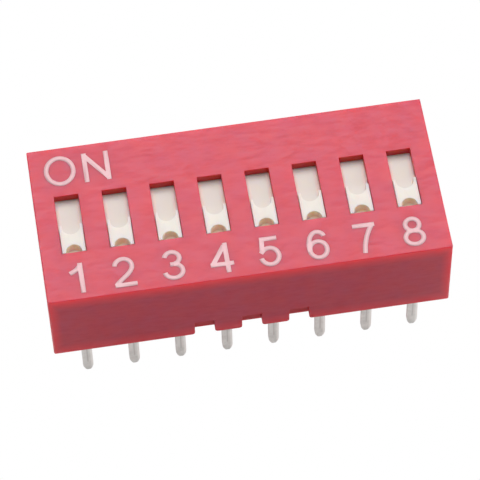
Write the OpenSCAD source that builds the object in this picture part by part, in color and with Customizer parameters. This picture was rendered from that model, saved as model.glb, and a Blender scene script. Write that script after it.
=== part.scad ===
// DIP switch with recessed slide actuators, for through-hole mounting.
// Frame: origin at the middle of the seating face, +Z up, +Y towards the ON end of the slots,
// switch 1 at the -X end. The sliders are drawn at the number end of their slots, where they are open.

/* [Package] */
// Number of switches side by side
positions = 8; // [4:1:12]
// Distance between neighbouring switches, and between the pins of one row
pitch = 2.54; // [2.4:0.02:3.2]
// Distance from the end of the body to the middle of the first switch
end_margin = 1.76; // [1.6:0.02:3]
// Width of the body, from the number side to the ON side
body_w = 9.45; // [8.8:0.05:12]
// Height of the body above the seating face
body_h = 5.3; // [4.6:0.1:8]

/* [Cover] */
// Thickness of the cover's top
cover_t = 0.5; // [0.3:0.05:1]
// Thickness of the skirt that surrounds the base
wall_t = 0.4; // [0.2:0.05:0.55]
// Thickness of the ribs between two sliders
rib_t = 0.44; // [0.2:0.02:0.8]
// Radius of the cover's top edges
edge_r = 0.06; // [0.03:0.01:0.35]
// Radius of the cover's upright corners
corner_r = 0.1; // [0.05:0.01:0.35]
// Length of a slot
slot_l = 3.56; // [2.6:0.02:3.7]
// Width of a slot
slot_w = 1.3; // [0.9:0.02:1.6]
// How far the slots lie from the middle of the body, towards the number side
slot_shift = 0.08; // [0:0.01:0.2]
// Number of notches in the bottom edge of each long wall
notch_count = 3; // [1:2:3]
// Width of a notch
notch_w = 1.08; // [0.5:0.02:2]
// Height of a notch
notch_h = 1.19; // [0.5:0.01:1.8]
// Radius of the wall's corners beside a notch
notch_r = 0.18; // [0.05:0.01:0.3]

/* [Base] */
// Thickness of the base
base_h = 1.9; // [1.2:0.1:2.4]

/* [Sliders] */
// Length of a knob
knob_l = 1.7; // [1.5:0.02:2.4]
// How far the knob stays below the cover's top
knob_drop = 0.02; // [0:0.01:0.1]
// Radius of the finger notch on the ON side of a knob
rear_grip_r = 0.47; // [0.2:0.01:0.48]
// Depth of the finger notch on the ON side
rear_grip_d = 0.61; // [0.5:0.01:0.7]
// Radius of the finger notch on the number side of a knob
front_grip_r = 0.42; // [0.2:0.01:0.48]
// Depth of the finger notch on the number side
front_grip_d = 0.46; // [0.44:0.01:0.7]
// Height of the slider's roof, above its contact
roof_t = 1.1; // [0.6:0.05:1.5]
// How far the roof reaches past the slot at each end, which keeps dirt out
roof_lap = 0.2; // [0.1:0.05:0.4]
// Thickness of the slider's side walls
slider_wall = 0.3; // [0.2:0.05:0.5]

/* [Contacts] */
// Distance between a contact's two feet
contact_span = 3; // [2.4:0.1:3.6]
// Width of a contact strip
contact_w = 1; // [0.7:0.05:1.3]
// Thickness of the contact strip
contact_t = 0.1; // [0.06:0.01:0.15]
// Half the length of the strip's flat middle
contact_flat = 0.42; // [0.38:0.02:0.6]
// Radius of the bends, at the middle of the strip
bend_r = 0.25; // [0.15:0.01:0.35]
// Radius of the stake that holds the strip
stake_r = 0.2; // [0.12:0.01:0.25]
// How much wider the stake's flattened head is than the stake, on each side
head_lap = 0.14; // [0.08:0.01:0.2]
// Thickness of the stake's head
head_t = 0.1; // [0.06:0.01:0.15]
// Angle to which a contact's foot turns up at its tip
tip_angle = 50; // [30:5:60]

/* [Terminals] */
// Distance between the two rows of pins
row_spacing = 7.62; // [7:0.02:7.7]
// Length of a pin below the seating face
pin_l = 3.54; // [2:0.02:5]
// Width of a pin
pin_w = 0.56; // [0.4:0.02:0.8]
// Length over which a pin narrows to its tip
pin_tip_l = 0.55; // [0.3:0.05:1.2]
// Width of a pin's blunt tip
pin_tip_w = 0.2; // [0.06:0.02:0.3]
// Thickness of the terminal strip
pin_t = 0.25; // [0.15:0.01:0.35]
// Inside radius of the terminal's bend
pin_bend_r = 0.15; // [0.1:0.01:0.3]
// Width of a contact pad
pad_w = 1.4; // [0.8:0.05:1.8]
// How far a pad reaches past the contact's foot
pad_lap = 0.3; // [0.2:0.05:0.5]

/* [Clearances] */
// Gap between a slider's roof and the cover
slide_gap = 0.03; // [0.02:0.01:0.08]
// Gap on each side of a slider in its channel
side_gap = 0.05; // [0.03:0.01:0.1]
// Gap on each side of a knob in its slot
knob_gap = 0.03; // [0.02:0.01:0.1]
// Gap between a knob and the end of its slot, at the end of its travel
stop_gap = 0.03; // [0.02:0.01:0.1]
// Gap between the end of a slider and the end of its channel
end_gap = 0.15; // [0.05:0.01:0.2]
// Height of a slider's walls above the base
floor_gap = 0.15; // [0.05:0.01:0.3]
// Running gap under a contact's feet
foot_gap = 0.03; // [0.02:0.01:0.06]
// Gap between a contact's tips and the slider around it
tip_gap = 0.1; // [0.05:0.01:0.2]
// Gap between a stake and the hole in its contact
stake_gap = 0.04; // [0.02:0.01:0.08]
// Gap between the base and the cover's skirt
base_gap = 0.02; // [0.01:0.01:0.05]

/* [Hidden] */
// Bends are drawn with this many points to an arc
arc_steps = 8;
// Cuts run past the faces that they open by this much
past = 1;

body_l = (positions - 1) * pitch + 2 * end_margin;
slot_y = -slot_shift;
travel = slot_l - knob_l - 2 * stop_gap;
slider_l = slot_l + travel + 2 * roof_lap;
channel_w = pitch - rib_t;
channel_l = slider_l + travel + 2 * end_gap;
slider_w = channel_w - 2 * side_gap;
knob_w = slot_w - 2 * knob_gap;
roof_top = body_h - cover_t - slide_gap;
ceiling = roof_top - roof_t;
slider_bottom = base_h + floor_gap;

// Half of the contact's centre line runs along its flat middle, round a bend, down the arm and round the foot.
// The arm is the line that touches both bends, which gives its slope.
strip_z = ceiling - contact_t / 2;
foot_y = contact_span / 2;
foot_z = base_h + foot_gap + contact_t / 2 + bend_r;
arm_dy = foot_y - contact_flat;
arm_dz = strip_z - bend_r - foot_z;
arm_slope = atan2(arm_dz, arm_dy) + asin(2 * bend_r / norm([arm_dy, arm_dz]));
contact_reach = foot_y + (bend_r + contact_t / 2) * sin(tip_angle);
pocket_l = 2 * (contact_reach + tip_gap);
pocket_w = slider_w - 2 * slider_wall;

// How far each row's pads stay from the middle. The front pad always carries the front foot. The rear pad
// starts where the rear foot stands half way along its travel, and the switch closes there.
front_pad_y = foot_y - travel / 2 - pad_lap - slot_y;
rear_pad_y = foot_y + slot_y;

// The pin's tip is bounded by two arcs that run straight on from its sides
tip_inset = (pin_w - pin_tip_w) / 2;
tip_arc_r = (pow(pin_tip_l, 2) + pow(tip_inset, 2)) / (2 * tip_inset);

$fn = 48;

// X of a switch's middle
function switch_x(i) = (i - (positions + 1) / 2) * pitch;

// Points of the contact's centre line round a bend, as [y, z, slope], with the slope measured downwards.
// side is 1 for the bend over the arm and -1 for the one under the foot.
function bend(y, z, from, to, side) = [
    for (k = [0:arc_steps])
        let (a = from + (to - from) * k / arc_steps)
        [y + side * bend_r * sin(a), z + side * bend_r * cos(a), a]
];

// The centre line on the +Y side, from the flat middle to the tip
function half_line() = concat(
    bend(contact_flat, strip_z - bend_r, 0, arm_slope, 1),
    bend(foot_y, foot_z, arm_slope, -tip_angle, -1)
);

// A list backwards
function reversed(list) = [for (k = [len(list) - 1:-1:0]) list[k]];

// The points half a strip away from the centre line, above it for a side of 1 and below it for -1
function strip_edge(line, side) = [
    for (p = line) [p[0] + side * contact_t / 2 * sin(p[2]), p[1] + side * contact_t / 2 * cos(p[2])]
];

// The contact's whole outline, from its length and height
function strip_outline() =
    let (
        half = half_line(),
        line = concat(reversed([for (p = half) [-p[0], p[1], -p[2]]]), half)
    )
    concat(strip_edge(line, 1), reversed(strip_edge(line, -1)));

// A rectangle with round corners, centred
module round_rect(length, width, r) {
    square([length - 2 * r, width], center = true);
    square([length, width - 2 * r], center = true);
    for (x = [-1, 1], y = [-1, 1])
        translate([x * (length / 2 - r), y * (width / 2 - r)])
            circle(r);
}

// The cover's outside, with round upright corners and round top edges
module cover_block() {
    intersection() {
        linear_extrude(body_h)
            round_rect(body_l, body_w, corner_r);
        translate([0, 0, (body_h - past) / 2])
            rotate([90, 0, 0])
                linear_extrude(body_w + 2 * past, center = true)
                    round_rect(body_l, body_h + past, edge_r);
        translate([0, 0, (body_h - past) / 2])
            rotate([90, 0, 90])
                linear_extrude(body_l + 2 * past, center = true)
                    round_rect(body_w, body_h + past, edge_r);
    }
}

// A box centred over the origin in X and Y, from one height to another
module centred_box(length, width, from, to) {
    translate([-length / 2, -width / 2, from])
        cube([length, width, to - from]);
}

// A notch through both long walls, with the corners beside its mouth rounded off
module notch() {
    rotate([90, 0, 0])
        linear_extrude(body_w + 2 * past, center = true)
            difference() {
                union() {
                    translate([-notch_w / 2, -past])
                        square([notch_w, notch_h + past]);
                    translate([-notch_w / 2 - notch_r, -past])
                        square([notch_w + 2 * notch_r, notch_r + past]);
                }
                for (side = [-1, 1])
                    translate([side * (notch_w / 2 + notch_r), notch_r])
                        circle(notch_r);
            }
}

// The moulded cover: a slot and a channel for each slider, a recess for the base, and notches
module cover() {
    color("crimson")
        difference() {
            cover_block();
            centred_box(body_l - 2 * wall_t, body_w - 2 * wall_t, -past, base_h);
            for (i = [1:positions])
                translate([switch_x(i), slot_y, 0]) {
                    centred_box(channel_w, channel_l, base_h - past, body_h - cover_t);
                    centred_box(slot_w, slot_l, base_h, body_h + past);
                }
            for (k = [0:notch_count - 1])
                translate([(k - (notch_count - 1) / 2) * pitch, 0, 0])
                    notch();
        }
}

// The moulded base, with the terminals set in it
module base() {
    color("firebrick")
        difference() {
            centred_box(
                body_l - 2 * (wall_t + base_gap),
                body_w - 2 * (wall_t + base_gap),
                0,
                base_h
            );
            for (i = [1:2 * positions])
                terminal(i);
        }
}

// The finger notch in one end of a knob: a round bottom and straight sides
module grip(side, r, depth) {
    translate([0, side * (knob_l / 2 - depth + r), roof_top]) {
        cylinder(r = r, h = cover_t + past);
        translate([-r, side > 0 ? 0 : -depth - past, 0])
            cube([2 * r, depth + past, cover_t + past]);
    }
}

// One slider: its knob, its roof under the cover, walls around its contact, and the contact's stake
module slider(i) {
    color("antiquewhite")
        translate([switch_x(i), slot_y - travel / 2, 0]) {
            difference() {
                union() {
                    centred_box(slider_w, slider_l, slider_bottom, roof_top);
                    centred_box(knob_w, knob_l, ceiling, body_h - knob_drop);
                }
                centred_box(pocket_w, pocket_l, slider_bottom - past, ceiling);
                grip(1, rear_grip_r, rear_grip_d);
                grip(-1, front_grip_r, front_grip_d);
            }
            translate([0, 0, ceiling - contact_t - head_t]) {
                cylinder(r = stake_r + head_lap, h = head_t);
                cylinder(r = stake_r, h = head_t + contact_t + roof_t / 2);
            }
        }
}

// One contact: a strip bent down to two feet, held under its slider by the stake
module contact(i) {
    color("goldenrod")
        translate([switch_x(i), slot_y - travel / 2, 0])
            difference() {
                rotate([90, 0, 90])
                    linear_extrude(contact_w, center = true)
                        polygon(strip_outline());
                translate([0, 0, ceiling - contact_t - past])
                    cylinder(r = stake_r + stake_gap, h = contact_t + 2 * past);
            }
}

// A pin's outline up to a height, with a tip that narrows along two arcs to a blunt end
module pin_outline(top) {
    shoulder = pin_tip_l - pin_l;
    translate([-pin_w / 2, shoulder])
        square([pin_w, top - shoulder]);
    intersection() {
        translate([-pin_w / 2, -pin_l])
            square([pin_w, pin_tip_l]);
        translate([tip_arc_r - pin_w / 2, shoulder])
            circle(tip_arc_r);
        translate([pin_w / 2 - tip_arc_r, shoulder])
            circle(tip_arc_r);
    }
}

// A terminal standing at the origin: a pin, a bend, and a pad that reaches along +Y
module terminal_strip(reach) {
    bend_y = pin_t / 2 + pin_bend_r;
    bend_z = base_h - pin_t - pin_bend_r;
    rotate([90, 0, 0])
        linear_extrude(pin_t, center = true)
            pin_outline(bend_z);
    translate([0, bend_y, bend_z])
        rotate([180, 0, 0])
            rotate([0, 90, 0])
                rotate_extrude(angle = 90)
                    translate([pin_bend_r, -pin_w / 2])
                        square([pin_t, pin_w]);
    translate([-pad_w / 2, bend_y, base_h - pin_t])
        cube([pad_w, reach - bend_y, pin_t]);
}

// One terminal: the front row is numbered with the switches, and the rear row runs back the other way
module terminal(i) {
    color("silver")
        if (i <= positions)
            translate([switch_x(i), -row_spacing / 2, 0])
                terminal_strip(row_spacing / 2 - front_pad_y);
        else
            translate([switch_x(2 * positions + 1 - i), row_spacing / 2, 0])
                rotate([0, 0, 180])
                    terminal_strip(row_spacing / 2 - rear_pad_y);
}

cover();
base();
for (i = [1:positions]) {
    slider(i);
    contact(i);
}
for (i = [1:2 * positions]) {
    terminal(i);
}
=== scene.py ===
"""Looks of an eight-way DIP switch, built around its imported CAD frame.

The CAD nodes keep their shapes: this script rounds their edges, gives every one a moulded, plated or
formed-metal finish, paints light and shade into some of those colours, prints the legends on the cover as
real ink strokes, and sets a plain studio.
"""

from __future__ import annotations

import logging
import math
from dataclasses import dataclass, field, replace
from enum import Enum
from functools import cached_property

import bpy
from mathutils import Matrix, Vector

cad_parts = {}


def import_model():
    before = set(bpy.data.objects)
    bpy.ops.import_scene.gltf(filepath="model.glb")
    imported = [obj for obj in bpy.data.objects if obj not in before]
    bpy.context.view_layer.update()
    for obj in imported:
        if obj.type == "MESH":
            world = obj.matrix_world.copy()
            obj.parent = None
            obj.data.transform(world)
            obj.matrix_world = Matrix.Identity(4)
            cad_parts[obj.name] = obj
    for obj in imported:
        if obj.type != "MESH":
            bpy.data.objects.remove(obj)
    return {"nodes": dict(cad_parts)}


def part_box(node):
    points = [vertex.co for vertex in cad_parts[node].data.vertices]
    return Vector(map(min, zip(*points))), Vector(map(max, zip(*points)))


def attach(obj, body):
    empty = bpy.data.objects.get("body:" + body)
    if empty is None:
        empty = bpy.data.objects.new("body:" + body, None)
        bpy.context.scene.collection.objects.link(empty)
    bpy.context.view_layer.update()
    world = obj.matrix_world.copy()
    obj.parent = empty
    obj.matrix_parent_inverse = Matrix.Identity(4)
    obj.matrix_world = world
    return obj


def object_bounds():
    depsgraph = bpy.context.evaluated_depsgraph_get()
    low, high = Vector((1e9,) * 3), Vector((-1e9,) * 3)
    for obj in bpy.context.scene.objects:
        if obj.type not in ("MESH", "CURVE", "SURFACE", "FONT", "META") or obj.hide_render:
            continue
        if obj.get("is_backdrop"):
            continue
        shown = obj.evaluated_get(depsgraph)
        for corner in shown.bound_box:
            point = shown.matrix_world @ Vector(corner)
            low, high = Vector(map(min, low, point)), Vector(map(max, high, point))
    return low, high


LOG = logging.getLogger("dip_switch")
MM = 0.001

Colour = tuple[float, float, float]
Point = tuple[float, float]
Span = tuple[float, float]
Socket = bpy.types.NodeSocket
Nodes = dict[str, bpy.types.Object]
Inputs = dict[str | int, Socket | float | tuple[float, ...]]

WHITE: Colour = (1.0, 1.0, 1.0)


class Body(Enum):
    """The rigid bodies that pieces ride on."""

    HOUSING = "housing"


class Flow(Enum):
    """The direction that a pattern is drawn out in, as its stretch along X, Y and Z."""

    EVEN = (1.0, 1.0, 1.0)
    ALONG_X = (0.3, 1.0, 1.0)
    ALONG_Y = (1.0, 0.3, 1.0)
    ALONG_Z = (1.0, 1.0, 0.12)


@dataclass(frozen=True)
class Pattern:
    """A noise pattern in a surface.

    Attributes:
        grain: the size of its features, in metres.
        seed: where it starts, so that two patterns don't match.
        span: the noise levels that it sets in between.
        amount: its strength from the upper level on.
        flow: the direction that its features are drawn out in.
        detail: octaves of finer noise.
        rough: strength of the finer octaves.
    """

    grain: float
    seed: float
    span: Span = (0.3, 0.7)
    amount: float = 1.0
    flow: Flow = Flow.EVEN
    detail: float = 3.0
    rough: float = 0.55


def opaque(colour: Colour) -> tuple[float, float, float, float]:
    """A colour with a full alpha."""
    return (*colour, 1.0)


def direction(azimuth: float, elevation: float) -> Vector:
    """The unit vector from the switch towards a place in the studio.

    Args:
        azimuth: degrees round from the front, towards +X.
        elevation: degrees above the table.

    Returns:
        The vector.
    """
    turn, rise = math.radians(azimuth), math.radians(elevation)
    return Vector((math.sin(turn) * math.cos(rise), -math.cos(turn) * math.cos(rise), math.sin(rise)))


# --------------------------------------------------------------------------------------------------
# Shader helpers


class NodeGraph:
    """The nodes of a material or a world under construction, with short methods for what they share."""

    SEED_STEPS = (1.0, 1.7, 2.3)
    FIRST_COLOUR, SECOND_COLOUR, MIXED_COLOUR = 6, 7, 2

    def __init__(self, owner: bpy.types.Material | bpy.types.World) -> None:
        """Empties the owner's nodes.

        Args:
            owner: the material or the world.
        """
        owner.use_nodes = True
        self.nodes = owner.node_tree.nodes
        self.links = owner.node_tree.links
        self.nodes.clear()

    @cached_property
    def coordinates(self) -> Socket:
        """Object coordinates, from one node for the whole graph."""
        return self.add("TexCoord").outputs["Object"]

    def add(self, kind: str, inputs: Inputs | None = None, **settings: str) -> bpy.types.Node:
        """Adds a node.

        Args:
            kind: the node's type, without the word that every shader node's type starts with.
            inputs: sockets to link and constants to set, by the input's name or number.
            **settings: the node's own choices.

        Returns:
            The node.
        """
        node = self.nodes.new("ShaderNode" + kind)
        for name, value in settings.items():
            setattr(node, name, value)
        for key, value in (inputs or {}).items():
            if isinstance(value, Socket):
                self.links.new(value, node.inputs[key])
            else:
                node.inputs[key].default_value = value
        return node

    def noise(self, pattern: Pattern) -> Socket:
        """A noise pattern in object space.

        Args:
            pattern: what it is like.

        Returns:
            The noise value, about 0 to 1.
        """
        mapped = self.add("Mapping", {
            "Vector": self.coordinates,
            "Location": tuple(pattern.seed * step for step in self.SEED_STEPS),
            "Scale": tuple(stretch / pattern.grain for stretch in pattern.flow.value),
        })
        noise = self.add("TexNoise", {
            "Vector": mapped.outputs["Vector"],
            "Scale": 1.0,
            "Detail": pattern.detail,
            "Roughness": pattern.rough,
        })
        return noise.outputs["Fac"]

    def ramp(self, value: Socket, low: float, high: float, out_low: float = 0.0,
             out_high: float = 1.0) -> Socket:
        """A value taken from one range to another, and kept inside it.

        Args:
            value: the value to change.
            low: the value that becomes out_low.
            high: the value that becomes out_high.
            out_low: what the result starts from.
            out_high: what the result ends at.

        Returns:
            The new value.
        """
        node = self.add("MapRange", {
            "Value": value, "From Min": low, "From Max": high, "To Min": out_low, "To Max": out_high,
        })
        return node.outputs["Result"]

    def strength(self, noise: Socket, pattern: Pattern) -> Socket:
        """How strongly a pattern shows, from 0 to its amount."""
        return self.ramp(noise, *pattern.span, 0.0, pattern.amount)

    def math(self, operation: str, first: Socket, second: Socket | float = 0.0) -> Socket:
        """One arithmetic step.

        Args:
            operation: the name of the operation.
            first: the first value.
            second: the second value, linked or constant.

        Returns:
            The result.
        """
        return self.add("Math", {0: first, 1: second}, operation=operation).outputs[0]

    def axis(self, letter: str) -> Socket:
        """The object coordinate along X, Y or Z, in metres."""
        return self.add("SeparateXYZ", {"Vector": self.coordinates}).outputs[letter]

    def inset(self, letter: str, level: float) -> Socket:
        """How far a point lies from a plane across one axis.

        Args:
            letter: X, Y or Z. For X and Y the plane stands on both sides of the middle.
            level: the plane's coordinate, in metres.

        Returns:
            The distance, in metres.
        """
        along = self.axis(letter)
        if letter != "Z":
            along = self.math("ABSOLUTE", along)
        return self.math("ABSOLUTE", self.math("SUBTRACT", along, level))

    def across(self, pitch: float) -> Socket:
        """How far a point lies along X from the middle of its own switch, in an even row about the origin.

        Args:
            pitch: distance between switches, in metres.

        Returns:
            The signed distance, in metres.
        """
        steps = self.math("FRACT", self.math("MULTIPLY", self.axis("X"), 1.0 / pitch))
        return self.math("MULTIPLY", self.math("SUBTRACT", steps, 0.5), pitch)

    def blend(self, factor: Socket, low: Colour | Socket, high: Colour) -> Socket:
        """A mix of two colours.

        Args:
            factor: 0 for the first colour and 1 for the second.
            low: the first colour.
            high: the second colour.

        Returns:
            The mixed colour.
        """
        first = opaque(low) if isinstance(low, tuple) else low
        inputs = {"Factor": factor, self.FIRST_COLOUR: first, self.SECOND_COLOUR: opaque(high)}
        return self.add("Mix", inputs, data_type="RGBA").outputs[self.MIXED_COLOUR]

    def either(self, choice: Socket, first: Socket, second: Socket) -> Socket:
        """The first shader where the choice is 0, and the second where it is 1."""
        return self.add("MixShader", {0: choice, 1: first, 2: second}).outputs[0]


class ShaderGraph(NodeGraph):
    """A finish under construction: one Principled shader and the patterns that feed it."""

    ROUGHNESS_SPAN: Span = (0.3, 0.7)

    def __init__(self, name: str) -> None:
        """Starts a material.

        Args:
            name: the material's name.
        """
        self.material = bpy.data.materials.new(name)
        super().__init__(self.material)
        self.shader = self.add("BsdfPrincipled")
        self.add("OutputMaterial", {"Surface": self.shader.outputs["BSDF"]})

    def set(self, **values: float | Colour) -> None:
        """Sets constants on the shader's own sockets.

        Args:
            **values: socket names with underscores for spaces, and their values.
        """
        for name, value in values.items():
            self.shader.inputs[name.replace("_", " ")].default_value = value

    def colour(self, socket: Socket) -> None:
        """Links a colour to the shader's base."""
        self.links.new(socket, self.shader.inputs["Base Color"])

    def roughness(self, middle: float, noise: Socket, smoother: float, rougher: float) -> None:
        """Lets a pattern vary the roughness.

        Args:
            middle: the roughness that it varies round.
            noise: the pattern's noise value.
            smoother: how far the roughness falls where the noise is low.
            rougher: how far it rises where the noise is high.
        """
        varied = self.ramp(noise, *self.ROUGHNESS_SPAN, middle - smoother, middle + rougher)
        self.links.new(varied, self.shader.inputs["Roughness"])

    def bump(self, height: Socket, depth: float) -> None:
        """Adds relief to the surface.

        Args:
            height: the relief, about 0 to 1.
            depth: what 1 stands for, in metres.
        """
        relief = self.add("Bump", {"Height": height, "Strength": 1.0, "Distance": depth})
        self.links.new(relief.outputs["Normal"], self.shader.inputs["Normal"])


# --------------------------------------------------------------------------------------------------
# Finishes, with painted light and shade in some colours


@dataclass(frozen=True)
class RimGlow:
    """A painted glow near the outer edges of a moulded shell, standing in for light that travels inside it,
    and painted shade on the walls inside its openings.

    Attributes:
        half_length: X of the shell's right end.
        half_width: Y of its rear face.
        height: Z of its top.
        colour: the painted glow colour at an edge.
        inside: the painted shade colour of the walls inside an opening.
        reach: how far the painted glow goes from an edge.
        end_squeeze: how many times shorter it is along X.
        top_fade: how far below the top the painted glow and the painted shade are full.
        wall_depth: how far behind the outer faces the painted shade starts.
        wall_fade: how far behind that it is full.
    """

    half_length: float
    half_width: float
    height: float
    # Painted glow colour at the edges, then the painted shade colour inside the openings.
    colour: Colour = (0.98, 0.055, 0.08)
    inside: Colour = (0.54, 0.012, 0.012)
    reach: float = 0.9 * MM
    end_squeeze: float = 1.5
    top_fade: float = 0.06 * MM
    wall_depth: float = 1.0 * MM
    wall_fade: float = 0.05 * MM

    def apply(self, graph: ShaderGraph, skin: Socket) -> Socket:
        """Paints a glow into a colour near the shell's edges, and paints shade into it inside the openings.

        Args:
            graph: the material under construction.
            skin: the colour away from the edges.

        Returns:
            The new colour.
        """
        end = graph.math("MULTIPLY", graph.inset("X", self.half_length), self.end_squeeze)
        side = graph.inset("Y", self.half_width)
        below = graph.inset("Z", self.height)
        level = graph.math("MINIMUM", below, graph.inset("Z", 0.0))
        near = graph.math("MINIMUM", end, side)
        far = graph.math("MAXIMUM", end, side)
        edge = graph.math("MAXIMUM", near, graph.math("MINIMUM", far, level))
        # Painted glow and painted shade are both kept off the top face; the glow is strongest at an edge
        # and fades over the reach.
        off_top = graph.ramp(below, 0.0, self.top_fade)
        painted_glow_mask = graph.math("MULTIPLY", graph.ramp(edge, 0.0, self.reach, 1.0, 0.0), off_top)
        # Painted shade on the walls inside the openings.
        walls = graph.ramp(near, self.wall_depth, self.wall_depth + self.wall_fade)
        deep = graph.math("MULTIPLY", walls, off_top)
        return graph.blend(deep, graph.blend(painted_glow_mask, skin, self.colour), self.inside)


@dataclass(frozen=True)
class SlotTint:
    """Painted light and shade on a knob and the skirt round it: pink bounce light and shade along the
    walls, shade on the skirt's flat and warm bounce light in the front notch.

    Attributes:
        level: Z of the skirt's flat.
        pitch: distance between switches.
        beside: the painted pink bounce light and shade along a slot's long walls.
        floor: the painted shade on the skirt's flat.
        notch: the painted warm bounce light in the knob's front notch.
        floor_fade: the height over which the painted shade on the flat ends.
        half_width: half the width of a slot.
        wall_reach: how far from a wall its painted bounce light goes.
        wall_amount: the strength of that painted bounce light at the wall.
        notch_from: Y of the notch's front end.
        notch_lead: how far in front of it the notch's painted light starts.
        notch_to: Y of the notch's rear end.
        notch_trail: how far behind it the painted light ends.
        notch_height: how far above the flat the painted light stays full.
        notch_fade: how far above that it ends.
    """

    level: float
    pitch: float
    # Painted colours: pink bounce light and shade along the walls, shade on the skirt's flat, warm bounce
    # light in the front notch.
    beside: Colour = (0.96, 0.69, 0.635)
    floor: Colour = (0.71, 0.66, 0.61)
    notch: Colour = (0.93, 0.835, 0.685)
    floor_fade: float = 0.2 * MM
    half_width: float = 0.65 * MM
    wall_reach: float = 0.25 * MM
    wall_amount: float = 0.85
    notch_from: float = -1.84 * MM
    notch_lead: float = 0.03 * MM
    notch_to: float = -1.36 * MM
    notch_trail: float = 0.04 * MM
    notch_height: float = 0.4 * MM
    notch_fade: float = 0.08 * MM

    def apply(self, graph: ShaderGraph, skin: Socket) -> Socket:
        """Paints light and shade into a colour by where it lies in the slot.

        Args:
            graph: the material under construction.
            skin: the colour in the middle of a knob.

        Returns:
            The new colour.
        """
        height, along = graph.axis("Z"), graph.axis("Y")
        # Painted shade on the skirt's flat.
        painted_shade_mask = graph.ramp(height, self.level, self.level + self.floor_fade, 1.0, 0.0)
        # Painted pink bounce light and shade along the slot's long walls.
        from_middle = graph.math("ABSOLUTE", graph.across(self.pitch))
        low = self.half_width - self.wall_reach
        painted_bounce_mask = graph.ramp(from_middle, low, self.half_width, 0.0, self.wall_amount)
        beside = graph.blend(painted_bounce_mask, graph.blend(painted_shade_mask, skin, self.floor), self.beside)
        # Painted warm bounce light in the knob's front notch.
        started = graph.ramp(along, self.notch_from - self.notch_lead, self.notch_from)
        not_ended = graph.ramp(along, self.notch_to, self.notch_to + self.notch_trail, 1.0, 0.0)
        top = self.level + self.notch_height
        under = graph.ramp(height, top, top + self.notch_fade, 1.0, 0.0)
        painted_notch_light_mask = graph.math("MULTIPLY", graph.math("MULTIPLY", started, not_ended), under)
        return graph.blend(painted_notch_light_mask, beside, self.notch)


CLOUDS = Pattern(grain=1.3 * MM, seed=3.0, span=(0.35, 0.68), amount=0.5)
STREAKS = Pattern(
    grain=0.22 * MM, seed=11.0, span=(0.45, 0.7), amount=0.35, flow=Flow.ALONG_X, detail=4.0, rough=0.6,
)


@dataclass(frozen=True)
class MouldedPlastic:
    """A filled, satin moulding: faint flow streaks, soft cloudiness, a fine spark-eroded grain and, where
    given, painted light and shade.

    Attributes:
        name: the material's name.
        colour: the colour of most of it.
        cloud: the colour that the clouds turn it to.
        streak: the colour that the streaks turn it to.
        clouds: the pattern of the clouds.
        streaks: the pattern of the streaks.
        grain: the pattern of the fine grain.
        roughness: how matt it is.
        wear: how much smoother and rougher it gets with the streaks.
        refraction: its index of refraction.
        gloss: the level of its reflections.
        glow: the share of the light that travels inside it.
        glow_depth: how deep that light goes.
        glow_reach: how many times as deep its red, green and blue go.
        relief_depth: the depth of its relief.
        streak_relief: the share of the streaks in the relief.
        grain_relief: the share of the fine grain.
        tint: the painted light and shade in its colour, from place to place.
    """

    name: str
    colour: Colour
    cloud: Colour
    streak: Colour
    clouds: Pattern = CLOUDS
    streaks: Pattern = STREAKS
    grain: Pattern = Pattern(grain=0.05 * MM, seed=5.0, detail=2.0)
    roughness: float = 0.44
    wear: float = 0.09
    refraction: float = 1.52
    gloss: float = 0.44
    glow: float = 1.0
    glow_depth: float = 0.5 * MM
    glow_reach: Colour = (1.0, 0.06, 0.05)
    relief_depth: float = 0.004 * MM
    streak_relief: float = 0.4
    grain_relief: float = 0.5
    tint: RimGlow | SlotTint | None = None

    def make(self) -> bpy.types.Material:
        """Builds the material.

        Returns:
            The material, whose patterns follow object coordinates.
        """
        graph = ShaderGraph(self.name)
        cloud, streak, grain = (graph.noise(pattern) for pattern in (self.clouds, self.streaks, self.grain))
        clouded = graph.blend(graph.strength(cloud, self.clouds), self.colour, self.cloud)
        skin = graph.blend(graph.strength(streak, self.streaks), clouded, self.streak)
        # Painted light and shade go into the colour where the moulding has them.
        graph.colour(self.tint.apply(graph, skin) if self.tint else skin)
        graph.roughness(self.roughness, streak, self.wear, self.wear)
        lines = graph.math("MULTIPLY", streak, self.streak_relief)
        pits = graph.math("MULTIPLY", grain, self.grain_relief)
        graph.bump(graph.math("ADD", lines, pits), self.relief_depth)
        graph.set(IOR=self.refraction, Specular_IOR_Level=self.gloss)
        graph.set(Subsurface_Weight=self.glow, Subsurface_Scale=self.glow_depth)
        graph.set(Subsurface_Radius=self.glow_reach)
        return graph.material


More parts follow.
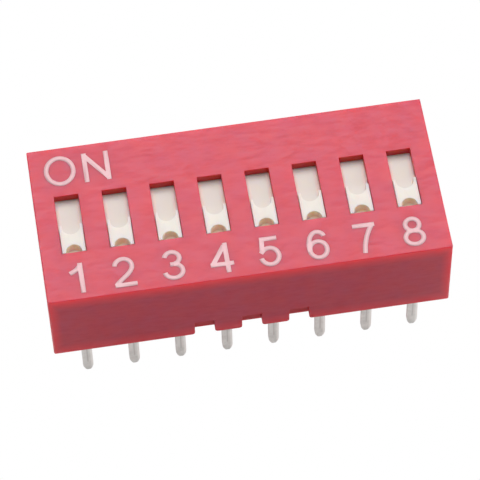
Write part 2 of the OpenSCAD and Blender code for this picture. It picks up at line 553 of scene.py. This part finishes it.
@dataclass(frozen=True)
class TinPlate:
    """Matt tin over a stamped strip: drawn lines, dull patches, a stamped middle groove with painted shade
    in it and a painted highlight along one edge.

    Attributes:
        pitch: distance between pins.
        name: the material's name.
        colour: the colour of clean tin.
        dull: the colour of the dull patches and of the painted shade in the middle line.
        bright: the colour of the painted highlight along one edge.
        lines: the pattern of the drawn lines.
        patches: the pattern of the dull patches.
        rubbed: how far to the right of the middle the painted highlight starts, and where it is full.
        crease_width: how far the middle line goes to either side.
        crease_end: Z of its lower end.
        crease_fade: how far above that it is full.
        roughness: how matt the tin is.
        smoother: how far the roughness falls between the patches.
        rougher: how far it rises on them.
        relief_depth: the depth of the lines.
    """

    pitch: float
    name: str = "matt_tin"
    colour: Colour = (0.79, 0.79, 0.76)
    # Dull patches; this colour is also the painted shade in the middle line.
    dull: Colour = (0.58, 0.57, 0.545)
    # Painted highlight along one edge of each pin.
    bright: Colour = (0.97, 0.97, 0.93)
    lines: Pattern = Pattern(grain=0.05 * MM, seed=2.0, flow=Flow.ALONG_Z)
    patches: Pattern = Pattern(grain=0.45 * MM, seed=7.0, span=(0.42, 0.72), amount=0.5)
    # Where the painted highlight lies across each pin.
    rubbed: Span = (0.12 * MM, 0.22 * MM)
    crease_width: float = 0.08 * MM
    crease_end: float = -2.8 * MM
    crease_fade: float = 0.2 * MM
    roughness: float = 0.36
    smoother: float = 0.07
    rougher: float = 0.1
    relief_depth: float = 0.006 * MM

    def make(self) -> bpy.types.Material:
        """Builds the material.

        Returns:
            The material, whose middle line and painted highlight repeat at the pin pitch.
        """
        graph = ShaderGraph(self.name)
        drawn, patch = graph.noise(self.lines), graph.noise(self.patches)
        across = graph.across(self.pitch)
        # The middle line: a groove in the relief, with painted shade in its colour.
        crease = graph.ramp(graph.math("ABSOLUTE", across), 0.0, self.crease_width, 1.0, 0.0)
        above_tip = graph.ramp(graph.axis("Z"), self.crease_end, self.crease_end + self.crease_fade)
        groove_with_painted_shade = graph.math("MULTIPLY", crease, above_tip)
        patches_and_crease_shade = graph.math("MAXIMUM", graph.strength(patch, self.patches), groove_with_painted_shade)
        tin = graph.blend(patches_and_crease_shade, self.colour, self.dull)
        # Painted highlight along the right edge of each pin.
        graph.colour(graph.blend(graph.ramp(across, *self.rubbed), tin, self.bright))
        graph.roughness(self.roughness, patch, self.smoother, self.rougher)
        graph.bump(graph.math("SUBTRACT", drawn, groove_with_painted_shade), self.relief_depth)
        graph.set(Metallic=1.0)
        return graph.material


@dataclass(frozen=True)
class PatchyCoat:
    """A thin coat with patches of a second colour, and a fine pattern in its gloss and relief.

    Attributes:
        name: the material's name.
        colour: the colour of most of it.
        patch: the colour of its patches.
        patches: the pattern of the patches.
        fine: the pattern of its gloss and relief.
        metallic: 1 for a metal and 0 for an ink.
        roughness: how matt it is.
        smoother: how far the roughness falls with the fine pattern.
        rougher: how far it rises with it.
        relief_depth: the depth of the relief.
    """

    name: str
    colour: Colour
    patch: Colour
    patches: Pattern
    fine: Pattern
    metallic: float
    roughness: float
    smoother: float
    rougher: float = 0.08
    relief_depth: float = 0.002 * MM

    def make(self) -> bpy.types.Material:
        """Builds the material.

        Returns:
            The material.
        """
        graph = ShaderGraph(self.name)
        patch, fine = graph.noise(self.patches), graph.noise(self.fine)
        graph.colour(graph.blend(graph.strength(patch, self.patches), self.colour, self.patch))
        graph.roughness(self.roughness, fine, self.smoother, self.rougher)
        graph.bump(fine, self.relief_depth)
        graph.set(Metallic=self.metallic)
        return graph.material


# Gold flash on a copper-alloy spring strip, worn in patches, with fine rolling lines.
SPRING_GOLD = PatchyCoat(
    name="gold_flash",
    colour=(0.83, 0.6, 0.26),
    patch=(0.62, 0.42, 0.2),
    patches=Pattern(grain=0.3 * MM, seed=9.0, span=(0.45, 0.75), amount=0.6, detail=2.0),
    fine=Pattern(grain=0.03 * MM, seed=4.0, flow=Flow.ALONG_Y),
    metallic=1.0,
    roughness=0.28,
    smoother=0.06,
)

# White pad-printed ink, thin enough for the red under it to tint it, with a slightly uneven lay.
INK_LAY = Pattern(grain=0.09 * MM, seed=6.0, span=(0.5, 0.75), amount=0.5)
LEGEND_INK = PatchyCoat(
    name="legend_ink",
    colour=(0.82, 0.51, 0.535),
    patch=(0.77, 0.39, 0.42),
    patches=INK_LAY,
    fine=INK_LAY,
    metallic=0.0,
    roughness=0.5,
    smoother=0.05,
)


# --------------------------------------------------------------------------------------------------
# Edges of the CAD nodes


@dataclass(frozen=True)
class EdgeBreak:
    """The small round that a mould or a die leaves on every sharp edge of a node.

    Attributes:
        radius: the width of the round.
        segments: the facets across it.
        sharp_from: the angle from which an edge is sharp.
        flat_within: the angle within which facets are one flat.
        weld_gap: the distance within which corners are one corner.
    """

    radius: float
    segments: int = 2
    sharp_from: float = math.radians(35)
    flat_within: float = math.radians(0.5)
    weld_gap: float = 0.0005 * MM

    def put_on(self, node: bpy.types.Object) -> None:
        """Rounds the node's sharp edges with modifiers, and leaves its mesh as it is.

        Args:
            node: the CAD node's object.
        """
        weld = node.modifiers.new("join_facets", "WELD")
        weld.merge_threshold = self.weld_gap
        flat = node.modifiers.new("merge_flats", "DECIMATE")
        flat.decimate_type = "DISSOLVE"
        flat.angle_limit = self.flat_within
        bevel = node.modifiers.new("edge_break", "BEVEL")
        bevel.width = self.radius
        bevel.segments = self.segments
        bevel.limit_method = "ANGLE"
        bevel.angle_limit = self.sharp_from
        bevel.harden_normals = False


def numbered(nodes: Nodes, prefix: str) -> list[str]:
    """The names that are a prefix and a number, in the order of their numbers.

    Args:
        nodes: the CAD nodes by name.
        prefix: what the names start with.

    Returns:
        The names.
    """
    names = [name for name in nodes if name.startswith(prefix)]
    return sorted(names, key=lambda name: int(name.removeprefix(prefix)))


def slot_middles(nodes: Nodes) -> list[float]:
    """Where the switches stand.

    Args:
        nodes: the CAD nodes by name.

    Returns:
        X of each slider's middle, in the order of their numbers.
    """
    boxes = [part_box(slider) for slider in numbered(nodes, "slider_")]
    return [(low[0] + high[0]) / 2 for low, high in boxes]


def dress(node: bpy.types.Object, material: bpy.types.Material, edge: EdgeBreak | None) -> None:
    """Gives a CAD node its finish.

    Args:
        node: the node's object.
        material: the finish.
        edge: how its edges are broken, or None to leave them.
    """
    node.data.materials.clear()
    node.data.materials.append(material)
    if edge:
        edge.put_on(node)
    LOG.info("%s: %s", node.name, material.name)


# --------------------------------------------------------------------------------------------------
# Legends


@dataclass(frozen=True)
class Line:
    """A straight stroke between two points, in glyph units."""

    start: Point
    end: Point

    def points(self) -> list[Point]:
        """The stroke's two ends."""
        return [self.start, self.end]


@dataclass(frozen=True)
class Arc:
    """Part of an ellipse, in glyph units, with its angles in degrees from +X towards +Y."""

    centre: Point
    radius_x: float
    radius_y: float
    start: float
    end: float
    steps: int = 28

    def points(self) -> list[Point]:
        """Points along the arc.

        Returns:
            The points, from its start to its end.
        """
        span = self.end - self.start
        turn = [math.radians(self.start + span * k / self.steps) for k in range(self.steps + 1)]
        return [
            (self.centre[0] + self.radius_x * math.cos(a), self.centre[1] + self.radius_y * math.sin(a))
            for a in turn
        ]


@dataclass(frozen=True)
class Sweep:
    """A smooth curve from one point to another that is pulled towards a third, in glyph units."""

    start: Point
    pull: Point
    end: Point
    steps: int = 14

    def points(self) -> list[Point]:
        """Points along the curve.

        Returns:
            The points, from its start to its end.
        """
        out = []
        for k in range(self.steps + 1):
            t = k / self.steps
            weights = ((1 - t) ** 2, 2 * t * (1 - t), t * t)
            out.append(tuple(
                sum(w * p[axis] for w, p in zip(weights, (self.start, self.pull, self.end)))
                for axis in (0, 1)
            ))
        return out


@dataclass(frozen=True)
class Stroke:
    """One pen stroke, with square ends where it isn't closed.

    Attributes:
        segments: the lines and curves that follow each other in it.
        weight: its share of the usual width.
        closed: whether it comes back to its start.
        reach_start: whether its start runs on to the glyph's edge.
        reach_end: whether its end does.
    """

    segments: tuple[Line | Arc | Sweep, ...]
    weight: float = 1.0
    closed: bool = False
    reach_start: bool = False
    reach_end: bool = False

    def centre_line(self, reach: float) -> list[Point]:
        """The stroke's centre line.

        Args:
            reach: how far an end that reaches the glyph's edge runs past its last point.

        Returns:
            The points of the line, without doubles.
        """
        line: list[Point] = []
        for segment in self.segments:
            for point in segment.points():
                if not line or math.dist(line[-1], point) > SAME_POINT:
                    line.append(point)
        if self.closed:
            return line[:-1]
        if self.reach_start:
            line[0] = self._beyond(line[1], line[0], reach)
        if self.reach_end:
            line[-1] = self._beyond(line[-2], line[-1], reach)
        return line

    @staticmethod
    def _beyond(inner: Point, end: Point, reach: float) -> Point:
        """The end moved on, in its own direction, by the reach."""
        length = math.dist(inner, end)
        return tuple(e + (e - i) / length * reach for i, e in zip(inner, end))


# Points of a stroke that are nearer than this, in glyph units, are one point.
SAME_POINT = 1e-4

# Each glyph is one unit high between the centres of its top and bottom strokes.
GLYPHS: dict[str, tuple[Stroke, ...]] = {
    "O": (Stroke((Arc((0.46, 0.51), 0.46, 0.52, 0, 360, 56),), closed=True),),
    "N": (
        Stroke((Line((0, 0), (0, 1)),), reach_start=True, reach_end=True),
        Stroke((Line((0.0, 1), (0.75, 0)),), weight=0.85),
        Stroke((Line((0.75, 0), (0.75, 1)),), reach_start=True, reach_end=True),
    ),
    "1": (
        Stroke((Line((0.36, 0), (0.36, 1)),), reach_start=True, reach_end=True),
        Stroke((Sweep((0.36, 0.98), (0.24, 0.8), (-0.01, 0.71)),)),
    ),
    "2": (
        Stroke(
            (
                Arc((0.322, 0.715), 0.289, 0.285, 172, -8),
                Sweep((0.608, 0.675), (0.588, 0.5), (0.322, 0.29)),
                Sweep((0.322, 0.29), (0.078, 0.1), (0.022, 0.0)),
            ),
        ),
        Stroke((Line((-0.022, 0), (0.633, 0)),), reach_end=True),
    ),
    "3": (
        Stroke((Arc((0.292, 0.765), 0.249, 0.235, 168, -85), Line((0.307, 0.53), (0.212, 0.53)))),
        Stroke((Arc((0.297, 0.265), 0.302, 0.265, 82, -172),)),
    ),
    "4": (
        Stroke((Line((0.493, 0), (0.493, 1)),), reach_start=True, reach_end=True),
        Stroke((Line((0.455, 0.98), (0.0, 0.28)),), weight=0.75),
        Stroke((Line((0, 0.265), (0.627, 0.265)),), reach_start=True, reach_end=True),
    ),
    "5": (
        Stroke((Line((0.105, 1), (0.525, 1)),), reach_start=True, reach_end=True),
        Stroke((Line((0.105, 1), (0.047, 0.5)),), weight=0.85),
        Stroke((Arc((0.294, 0.32), 0.299, 0.32, 142, -170),), reach_start=True),
    ),
    "6": (
        Stroke((Arc((0.299, 0.315), 0.288, 0.315, 0, 360, 48),), closed=True),
        Stroke((Arc((0.314, 0.765), 0.237, 0.235, 12, 90), Arc((0.314, 0.44), 0.309, 0.56, 90, 196))),
    ),
    "7": (
        Stroke((Line((0, 1), (0.588, 1)),), reach_start=True, reach_end=True),
        Stroke((Sweep((0.588, 1.0), (0.273, 0.56), (0.2, 0)),), reach_end=True),
    ),
    "8": (
        Stroke((Arc((0.304, 0.765), 0.234, 0.235, 0, 360, 44),), closed=True),
        Stroke((Arc((0.304, 0.265), 0.301, 0.265, 0, 360, 48),), closed=True),
    ),
}


class StrokeTree:
    """The Geometry Nodes tree that turns a glyph's centre lines into one solid layer of ink."""

    WIDTH = "Stroke Width"
    THICKNESS = "Ink Thickness"
    INK = "Ink"

    def __init__(self) -> None:
        """Builds the tree with its named inputs."""
        self.tree = bpy.data.node_groups.new("printed_strokes", "GeometryNodeTree")
        face = self.tree.interface
        face.new_socket("Geometry", in_out="INPUT", socket_type="NodeSocketGeometry")
        kinds = {self.WIDTH: "Float", self.THICKNESS: "Float", self.INK: "Material"}
        self.sockets = {
            name: face.new_socket(name, in_out="INPUT", socket_type="NodeSocket" + kind)
            for name, kind in kinds.items()
        }
        face.new_socket("Geometry", in_out="OUTPUT", socket_type="NodeSocketGeometry")
        self._wire()

    def _wire(self) -> None:
        """Adds the nodes: lines to curves, a rectangle swept along them, one union, then the ink."""
        nodes, links = self.tree.nodes, self.tree.links
        given = nodes.new("NodeGroupInput")
        made = nodes.new("NodeGroupOutput")
        curve = nodes.new("GeometryNodeMeshToCurve")
        upright = nodes.new("GeometryNodeSetCurveNormal")
        upright.mode = "Z_UP"
        section = nodes.new("GeometryNodeCurvePrimitiveQuadrilateral")
        sweep = nodes.new("GeometryNodeCurveToMesh")
        sweep.inputs["Fill Caps"].default_value = True
        union = nodes.new("GeometryNodeMeshBoolean")
        union.operation = "UNION"
        union.solver = "EXACT"
        union.inputs["Self Intersection"].default_value = True
        real = nodes.new("GeometryNodeRealizeInstances")
        coat = nodes.new("GeometryNodeSetMaterial")
        for source, result, target, place in (
            (given, "Geometry", curve, "Mesh"),
            (curve, "Curve", upright, "Curve"),
            (upright, "Curve", sweep, "Curve"),
            (given, self.WIDTH, section, "Width"),
            (given, self.THICKNESS, section, "Height"),
            (section, "Curve", sweep, "Profile Curve"),
            (sweep, "Mesh", union, "Mesh 2"),
            (union, "Mesh", real, "Geometry"),
            (real, "Geometry", coat, "Geometry"),
            (given, self.INK, coat, "Material"),
            (coat, "Geometry", made, "Geometry"),
        ):
            links.new(source.outputs[result], target.inputs[place])

    def print_on(self, carrier: bpy.types.Object, width: float, thickness: float,
                 ink: bpy.types.Material) -> bpy.types.Mesh:
        """Runs the tree on an object that holds centre lines.

        Args:
            carrier: an object whose mesh is only edges. It is removed afterwards.
            width: the stroke width, in metres.
            thickness: the ink's thickness, in metres.
            ink: the ink's material.

        Returns:
            The plain mesh of the strokes.
        """
        modifier = carrier.modifiers.new("print", "NODES")
        modifier.node_group = self.tree
        for name, value in ((self.WIDTH, width), (self.THICKNESS, thickness), (self.INK, ink)):
            modifier[self.sockets[name].identifier] = value
        evaluated = carrier.evaluated_get(bpy.context.evaluated_depsgraph_get())
        mesh = bpy.data.meshes.new_from_object(evaluated)
        bpy.data.objects.remove(carrier)
        return mesh


@dataclass
class Legends:
    """The print on the cover's top: ON at the rear left corner, and a number in front of each slot.

    Attributes:
        cap_height: the height of a character.
        stroke_width: the usual width of a stroke.
        ink_thickness: the thickness of the ink.
        ink_bite: how deep its underside lies in the cover.
        front_margin: from the cover's front edge to the numbers.
        rear_margin: from its rear edge to ON.
        left_margin: from its left edge to ON.
        letter_gap: the space between two letters.
        number_shift: how far to the right of its slot's middle a number stands.
        ink: the finish.
        strokes: the tree that makes strokes of centre lines.
    """

    cap_height: float = 1.81 * MM
    stroke_width: float = 0.245 * MM
    ink_thickness: float = 0.016 * MM
    ink_bite: float = 0.004 * MM
    front_margin: float = 0.36 * MM
    rear_margin: float = 0.58 * MM
    left_margin: float = 0.78 * MM
    letter_gap: float = 0.4 * MM
    number_shift: float = -0.11 * MM
    ink: PatchyCoat = LEGEND_INK
    strokes: StrokeTree = field(default_factory=StrokeTree)

    @property
    def unit(self) -> float:
        """Metres to one glyph unit."""
        return self.cap_height - self.stroke_width

    @property
    def reach(self) -> float:
        """How far a stroke that ends at a glyph's edge runs past its last point, in glyph units."""
        return self.stroke_width / 2 / self.unit

    def glyph_span(self, character: str) -> Span:
        """How far a glyph's centre lines go.

        Args:
            character: the glyph.

        Returns:
            Their lowest and highest X, in metres.
        """
        xs = [x for stroke in GLYPHS[character] for x, _ in stroke.centre_line(self.reach)]
        return min(xs) * self.unit, max(xs) * self.unit

    def centre_lines(self, name: str, text: str) -> bpy.types.Object:
        """Draws a legend's centre lines from the origin on.

        Args:
            name: the legend's name.
            text: its characters.

        Returns:
            An object whose mesh is only edges, with each stroke's weight as its points' radius.
        """
        vertices: list[tuple[float, float, float]] = []
        edges: list[tuple[int, int]] = []
        weights: list[float] = []
        cursor = 0.0
        for character in text:
            for stroke in GLYPHS[character]:
                line = stroke.centre_line(self.reach)
                first, last = len(vertices), len(vertices) + len(line) - 1
                vertices += [(cursor + x * self.unit, y * self.unit, 0.0) for x, y in line]
                weights += [stroke.weight] * len(line)
                edges += [(k, k + 1) for k in range(first, last)]
                if stroke.closed:
                    edges.append((last, first))
            cursor += self.glyph_span(character)[1] + self.stroke_width + self.letter_gap
        lines = bpy.data.meshes.new(name + "_lines")
        lines.from_pydata(vertices, edges, [])
        lines.attributes.new("radius", "FLOAT", "POINT").data.foreach_set("value", weights)
        carrier = bpy.data.objects.new(name + "_lines", lines)
        bpy.context.collection.objects.link(carrier)
        return carrier

    def print_text(self, name: str, text: str, ink: bpy.types.Material, corner: tuple[float, ...]) -> None:
        """Prints one legend.

        Args:
            name: the piece's name.
            text: the characters.
            ink: the ink's material.
            corner: the print's left front corner, on the surface that it is printed on.
        """
        carrier = self.centre_lines(name, text)
        mesh = self.strokes.print_on(carrier, self.stroke_width, self.ink_thickness, ink)
        half = self.stroke_width / 2
        lift = self.ink_thickness / 2 - self.ink_bite
        mesh.transform(Matrix.Translation(Vector(corner) + Vector((half, half, lift))))
        mesh.name = name
        piece = bpy.data.objects.new(name, mesh)
        bpy.context.collection.objects.link(piece)
        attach(piece, Body.HOUSING.value)
        LOG.info("%s: %d faces of ink", name, len(mesh.polygons))

    def build(self, middles: list[float]) -> None:
        """Prints every legend on the cover.

        Args:
            middles: X of each switch's middle, from switch 1 on.
        """
        low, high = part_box("cover")
        ink = self.ink.make()
        rear = high[1] - self.rear_margin - self.cap_height
        front = low[1] + self.front_margin
        self.print_text("legend_on", "ON", ink, (low[0] + self.left_margin, rear, high[2]))
        for number, middle in enumerate(middles, start=1):
            left = middle + self.number_shift - (sum(self.glyph_span(str(number))) + self.stroke_width) / 2
            self.print_text(f"legend_{number}", str(number), ink, (left, front, high[2]))


# --------------------------------------------------------------------------------------------------
# Sub-assemblies


@dataclass
class Housing:
    """The cover and the base that closes it."""

    cover: MouldedPlastic = MouldedPlastic(
        name="red_moulding",
        colour=(0.67, 0.05, 0.087),
        cloud=(0.62, 0.054, 0.115),
        streak=(0.54, 0.036, 0.055),
        clouds=replace(CLOUDS, amount=0.9),
        streaks=replace(STREAKS, amount=0.24),
        glow_depth=0.8 * MM,
    )
    base: MouldedPlastic = MouldedPlastic(
        name="red_base_moulding",
        colour=(0.66, 0.04, 0.055),
        cloud=(0.6, 0.045, 0.07),
        streak=(0.52, 0.03, 0.045),
        roughness=0.55,
        glow_depth=0.6 * MM,
    )
    edge: EdgeBreak = EdgeBreak(radius=0.02 * MM)

    def build(self, nodes: Nodes) -> None:
        """Dresses both mouldings.

        Args:
            nodes: the CAD nodes by name.
        """
        half_length, half_width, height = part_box("cover")[1]
        # The cover's colour gets a painted glow near its outer edges and painted shade inside its openings.
        glow = RimGlow(half_length, half_width, height)
        dress(nodes["cover"], replace(self.cover, tint=glow).make(), self.edge)
        dress(nodes["base"], self.base.make(), self.edge)


@dataclass
class Actuators:
    """The eight sliders, each with the contact that it carries.

    Attributes:
        floor_level: Z of the flat on a slider's skirt.
        slider: the finish of the sliders.
        contact: the finish of the contacts.
        edge: how the sliders' edges are broken.
    """

    floor_level: float = 4.77 * MM
    slider: MouldedPlastic = MouldedPlastic(
        name="cream_moulding",
        colour=(0.79, 0.745, 0.69),
        cloud=(0.77, 0.72, 0.665),
        streak=(0.73, 0.67, 0.6),
        streaks=replace(STREAKS, amount=0.25, flow=Flow.ALONG_Y),
        roughness=0.48,
        glow=0.9,
        glow_reach=(1.0, 0.75, 0.45),
    )
    contact: PatchyCoat = SPRING_GOLD
    edge: EdgeBreak = EdgeBreak(radius=0.015 * MM)

    def build(self, nodes: Nodes, pitch: float) -> None:
        """Dresses the sliders and contacts.

        Args:
            nodes: the CAD nodes by name.
            pitch: distance between switches, in metres.
        """
        # The sliders' colour gets painted pink bounce light and shade by the walls, painted shade on the
        # skirt's flat and painted warm bounce light in the front notch.
        cream = replace(self.slider, tint=SlotTint(self.floor_level, pitch)).make()
        gold = self.contact.make()
        for slider in numbered(nodes, "slider_"):
            dress(nodes[slider], cream, self.edge)
            dress(nodes[slider.replace("slider", "contact")], gold, None)


@dataclass
class Terminals:
    """The two rows of pins."""

    edge: EdgeBreak = EdgeBreak(radius=0.05 * MM)

    def build(self, nodes: Nodes, pitch: float) -> None:
        """Dresses every terminal.

        Args:
            nodes: the CAD nodes by name.
            pitch: distance between pins, in metres.
        """
        # The tin's colour has a painted highlight along one edge of each pin and painted shade in the
        # middle groove.
        tin = TinPlate(pitch).make()
        for terminal in numbered(nodes, "terminal_"):
            dress(nodes[terminal], tin, self.edge)


# --------------------------------------------------------------------------------------------------
# Studio


@dataclass(frozen=True)
class SoftBox:
    """A rectangular studio light.

    Attributes:
        name: the light's name.
        azimuth: degrees round from the front, towards +X.
        elevation: degrees above the table.
        distance: how far it hangs from the switch.
        width: the width of its face.
        height: the height of its face.
        radiance: how bright its face is.
    """

    name: str
    azimuth: float
    elevation: float
    distance: float
    width: float
    height: float
    radiance: float

    def place(self, target: Vector) -> None:
        """Hangs the light so that it faces a point.

        Args:
            target: the point.
        """
        back = direction(self.azimuth, self.elevation)
        lamp = bpy.data.lights.new(self.name, "AREA")
        lamp.shape = "RECTANGLE"
        lamp.size, lamp.size_y = self.width, self.height
        lamp.energy = self.radiance * math.pi * self.width * self.height
        holder = bpy.data.objects.new(self.name, lamp)
        holder.location = target + back * self.distance
        holder.rotation_mode = "QUATERNION"
        holder.rotation_quaternion = (-back).to_track_quat("-Z", "Y")
        bpy.context.collection.objects.link(holder)


@dataclass
class Studio:
    """A white table, an even sky and soft boxes, with the camera in front and above.

    Attributes:
        azimuth: where the camera stands, in degrees round from the front.
        elevation: the same, in degrees above the table.
        roll: how far it leans to one side, in degrees.
        distance: how far it stands from the switch.
        lens: its focal length, in millimetres.
        clip: the nearest and farthest that it sees.
        look_height: Z of the point that it and the lights face.
        shift_right: how far it is moved to its right.
        shift_up: how far it is moved up.
        sky: the strength of the even light.
        table_white: the share of light that the table throws back.
        card_glow: the strength of the bright card under the switch.
        card_reach: how far the card goes to the front and to the rear.
        card_fade: how much farther its light ends.
        floor_size: the table's length and width.
        boxes: the lights.
    """

    azimuth: float = -7.54
    elevation: float = 58.44
    roll: float = -1.51
    distance: float = 162.7 * MM
    lens: float = 228.5
    clip: Span = (0.01, 10.0)
    look_height: float = 2.6 * MM
    shift_right: float = 0.1 * MM
    shift_up: float = -0.74 * MM
    sky: float = 0.22
    table_white: float = 0.64
    card_glow: float = 0.42
    card_reach: float = 6.8 * MM
    card_fade: float = 0.8 * MM
    floor_size: float = 3.0
    boxes: tuple[SoftBox, ...] = (
        SoftBox("key_box", 176, 66, distance=0.4, width=0.36, height=0.3, radiance=3.9),
        SoftBox("side_box", 80, 30, distance=0.45, width=0.2, height=0.2, radiance=3.0),
        SoftBox("top_box", -10, 80, distance=0.4, width=0.25, height=0.25, radiance=1.3),
    )

    def build(self, floor_level: float) -> None:
        """Sets the whole studio.

        Args:
            floor_level: Z of the table's top.
        """
        self._table(floor_level)
        self._sky()
        for box in self.boxes:
            box.place(Vector((0.0, 0.0, self.look_height)))
        self._camera()
        view = bpy.context.scene.view_settings
        view.view_transform, view.look, view.exposure = "Standard", "None", 0.0

    @staticmethod
    def _white_to_camera(graph: NodeGraph, seen: Socket, felt: Socket) -> Socket:
        """Tells what the camera sees from what lights the switch.

        Args:
            graph: the material or world under construction.
            seen: the shader for the camera.
            felt: the shader for all other light.

        Returns:
            The two as one shader.
        """
        return graph.either(graph.add("LightPath").outputs["Is Camera Ray"], felt, seen)

    def _card(self, graph: NodeGraph) -> Socket:
        """Makes a bright card lying under the switch, which only reflections see.

        Args:
            graph: the table's material.

        Returns:
            The card's light.
        """
        away = graph.math("ABSOLUTE", graph.axis("Y"))
        fade = graph.ramp(away, self.card_reach, self.card_reach + self.card_fade, self.card_glow, 0.0)
        reflected = graph.add("LightPath").outputs["Is Glossy Ray"]
        return graph.add("Emission", {"Strength": graph.math("MULTIPLY", fade, reflected)}).outputs[0]

    def _table_white(self) -> bpy.types.Material:
        """Makes the table's white, which is open to a camera below it.

        Returns:
            The material.
        """
        material = bpy.data.materials.new("white_table")
        graph = NodeGraph(material)
        diffuse = graph.add("BsdfDiffuse", {"Color": opaque((self.table_white,) * 3)})
        lit = graph.add("AddShader", {0: diffuse.outputs[0], 1: self._card(graph)})
        shown = graph.add("Emission", {"Strength": 1.0})
        front = self._white_to_camera(graph, shown.outputs[0], lit.outputs[0])
        backfacing = graph.add("NewGeometry").outputs["Backfacing"]
        both = graph.either(backfacing, front, graph.add("BsdfTransparent").outputs[0])
        graph.add("OutputMaterial", {"Surface": both})
        return material

    def _table(self, level: float) -> None:
        """Lays the table.

        Args:
            level: Z of its top.
        """
        half = self.floor_size / 2
        mesh = bpy.data.meshes.new("table_top")
        corners = [(-half, -half, level), (half, -half, level), (half, half, level), (-half, half, level)]
        mesh.from_pydata(corners, [], [(0, 1, 2, 3)])
        mesh.materials.append(self._table_white())
        table = bpy.data.objects.new("table_top", mesh)
        bpy.context.collection.objects.link(table)
        table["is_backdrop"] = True

    def _sky(self) -> None:
        """Sets the even light from all round, which the camera sees as white."""
        world = bpy.data.worlds.new("white_room")
        bpy.context.scene.world = world
        graph = NodeGraph(world)
        seen = graph.add("Background", {"Color": opaque(WHITE)})
        felt = graph.add("Background", {"Color": opaque(WHITE), "Strength": self.sky})
        room = self._white_to_camera(graph, seen.outputs[0], felt.outputs[0])
        graph.add("OutputWorld", {"Surface": room})

    def _camera(self) -> None:
        """Sets the camera: in front of the number side, high up, with a long lens."""
        turn, roll = math.radians(self.azimuth), math.radians(self.roll)
        back = direction(self.azimuth, self.elevation)
        level = Vector((math.cos(turn), math.sin(turn), 0.0))
        steep = back.cross(level)
        right = level * math.cos(roll) + steep * math.sin(roll)
        up = steep * math.cos(roll) - level * math.sin(roll)
        lens = bpy.data.cameras.new("camera")
        lens.lens = self.lens
        lens.clip_start, lens.clip_end = self.clip
        camera = bpy.data.objects.new("camera", lens)
        place = Vector((0.0, 0.0, self.look_height)) + back * self.distance
        place += right * self.shift_right + up * self.shift_up
        turned = Matrix((right, up, back)).transposed().to_4x4()
        camera.matrix_world = Matrix.Translation(place) @ turned
        bpy.context.collection.objects.link(camera)
        bpy.context.scene.camera = camera


def main() -> None:
    """Builds the switch's looks round its frame, one sub-assembly after another."""
    logging.basicConfig(level=logging.INFO, format="%(name)s: %(message)s")
    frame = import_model()
    cad_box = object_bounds()
    nodes = frame["nodes"]
    middles = slot_middles(nodes)
    pitch = middles[1] - middles[0]
    Housing().build(nodes)
    Actuators().build(nodes, pitch)
    Terminals().build(nodes, pitch)
    Legends().build(middles)
    Studio().build(cad_box[0].z)


if __name__ == "__main__":
    main()
